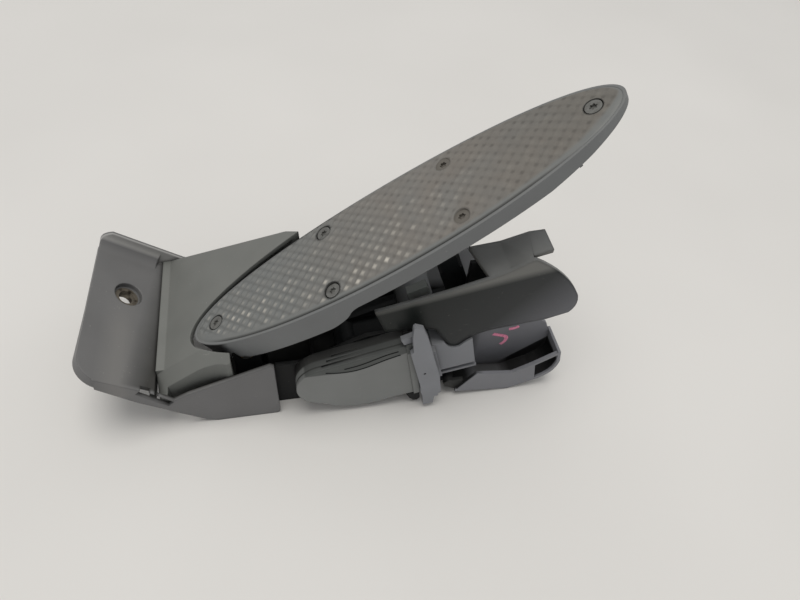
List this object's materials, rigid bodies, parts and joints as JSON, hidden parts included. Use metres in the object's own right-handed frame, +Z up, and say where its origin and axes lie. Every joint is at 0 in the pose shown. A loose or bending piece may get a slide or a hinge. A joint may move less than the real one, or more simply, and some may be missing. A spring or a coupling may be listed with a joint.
{
  "type": "accelerator pedal",
  "caption": "Floor-hinged oval pedal over a lever and spring housing, with a side sensor, plug inlet and a bolted heel plate",
  "frame": {"origin": "on the underside plane, straight below the hinge pin, in the pedal's middle plane", "axes": "x from the heel towards the pedal's tip, y to the far side, z up from the underside"},
  "size_m": [0.2734, 0.1101, 0.1933],
  "materials": {
    "flange_grey": "satin moulded nylon, dusty",
    "block_grey": "fine grain moulded nylon, scuffed and dusty",
    "frame_black": "dark moulded nylon, dusty",
    "shield_black": "dark moulded nylon, dusty",
    "shell_grey": "smooth moulded nylon, dusty",
    "tread_rubber": "studded tread, worn and dusty",
    "dark_steel": "dulled plated screw heads",
    "plated_steel": "zinc plated",
    "bush_brass": "dull",
    "rod_black": "black moulded nylon",
    "sensor_grey": "smooth moulded cover, dusty",
    "collar_grey": "smooth moulded nylon",
    "soft_rubber": "soft black",
    "board_green": "circuit board lacquer"
  },
  "bodies": {
    "base": {"heel_plate": "flange_grey", "heel_block": "block_grey", "floor_sleeve": "plated_steel", "base_frame": "frame_black", "upper_bracket": "frame_black", "cover_shield": "shield_black", "hinge_pin": "plated_steel", "hinge_bushes": "bush_brass", "lever_bushes": "bush_brass", "outer_spring": "plated_steel", "inner_spring": "plated_steel", "spring_seat": "soft_rubber", "sensor_cover": "sensor_grey", "circuit_board": "board_green", "neck_seal": "soft_rubber", "lock_collar": "collar_grey", "latch_plate": "collar_grey", "connector_shroud": "collar_grey", "contact_pins": "bush_brass", "guide_block": "shell_grey", "upper_sleeves": "plated_steel"},
    "pedal": {"pedal_shell": "shell_grey", "tread_pad": "tread_rubber", "pad_screws": "dark_steel", "rod_pin": "plated_steel"},
    "rod": {"push_rod": "rod_black"},
    "lever_arm": {"lever": "rod_black", "lever_shaft": "plated_steel", "magnet_rotor": "plated_steel"}
  },
  "joints": [
    {"name": "pedal_press", "type": "hinge", "parent": "base", "child": "pedal", "pos_m": [0, 0, 0.0458], "axis": [0, 1, 0], "range_deg": [0, 12], "stiffness_Nm_per_rad": 8, "springref_deg": -20.05},
    {"name": "rod_swing", "type": "hinge", "parent": "pedal", "child": "rod", "pos_m": [0.1024, 0, 0.12103], "axis": [0, 1, 0], "range_deg": [-4.2, 0]},
    {"name": "lever_turn", "type": "hinge", "parent": "base", "child": "lever_arm", "pos_m": [0.058, 0, 0.033], "axis": [0, 1, 0], "range_deg": [0, 20.8], "deforming": ["outer_spring", "inner_spring"]}
  ],
  "couplings": [
    {"joint": "rod_swing", "follows": "pedal_press", "ratio": -0.32},
    {"joint": "lever_turn", "follows": "pedal_press", "ratio": 1.71}
  ]
}
